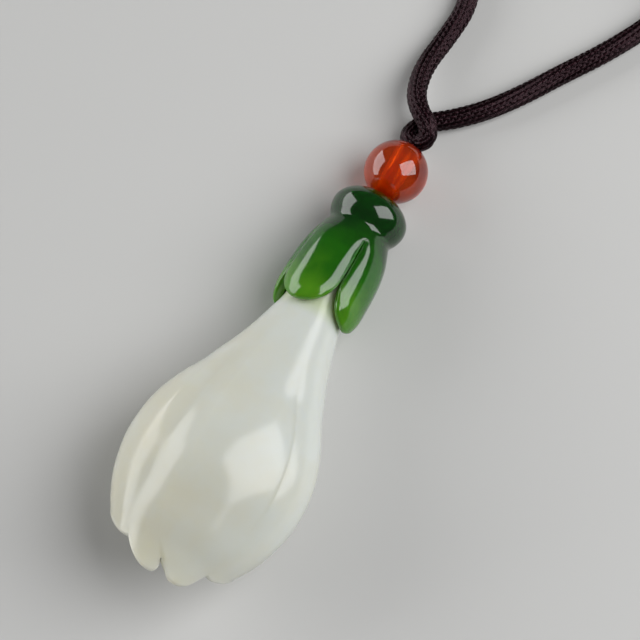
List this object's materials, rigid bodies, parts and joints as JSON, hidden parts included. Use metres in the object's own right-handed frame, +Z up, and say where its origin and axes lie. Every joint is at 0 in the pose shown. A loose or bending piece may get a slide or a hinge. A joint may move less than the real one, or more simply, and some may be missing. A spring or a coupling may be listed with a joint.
{
  "type": "jade pendant",
  "caption": "Pendant carved as a closed flower bud, with a lobed calyx cap and a round bead on one thread, knotted to a braided neck cord.",
  "frame": {"origin": "middle of the pendant's footprint on the surface it lies on, without the neck cord", "axes": "+Y along the pendant from the tip of the bud to the cord, +Z up from the surface, +X to the right seen from above"},
  "size_m": [0.0391, 0.1202, 0.0152],
  "materials": {
    "white_jade": "polished, cloudy and translucent",
    "green_jade": "polished, translucent, paler at the lobe ends",
    "carnelian": "polished, translucent",
    "thread": "waxed thread",
    "cord": "braided, slight sheen"
  },
  "bodies": {
    "necklace_cord": {"knot": "cord", "neck_cord_left": "cord", "neck_cord_right": "cord", "neck_cord_coil": "cord"},
    "pendant_drop": {"flower_bud": "white_jade", "hanging_thread": "thread"},
    "loose_bead": {"bead": "carnelian"},
    "loose_cap": {"calyx_cap": "green_jade"}
  },
  "joints": [
    {"name": "drop_sway", "type": "hinge", "parent": "necklace_cord", "child": "pendant_drop", "pos_m": [-0.00001, 0.02944, 0.00323], "axis": [0, 0, 1], "range_deg": [-40, 40]},
    {"name": "bead_spin", "type": "hinge", "parent": "pendant_drop", "child": "loose_bead", "pos_m": [-0.00001, 0.02387, 0.00376], "axis": [0, 0.9955, -0.0947], "continuous": true},
    {"name": "cap_spin", "type": "hinge", "parent": "pendant_drop", "child": "loose_cap", "pos_m": [-0.00001, 0.0159, 0.00452], "axis": [0, 0.9955, -0.0947], "continuous": true}
  ]
}
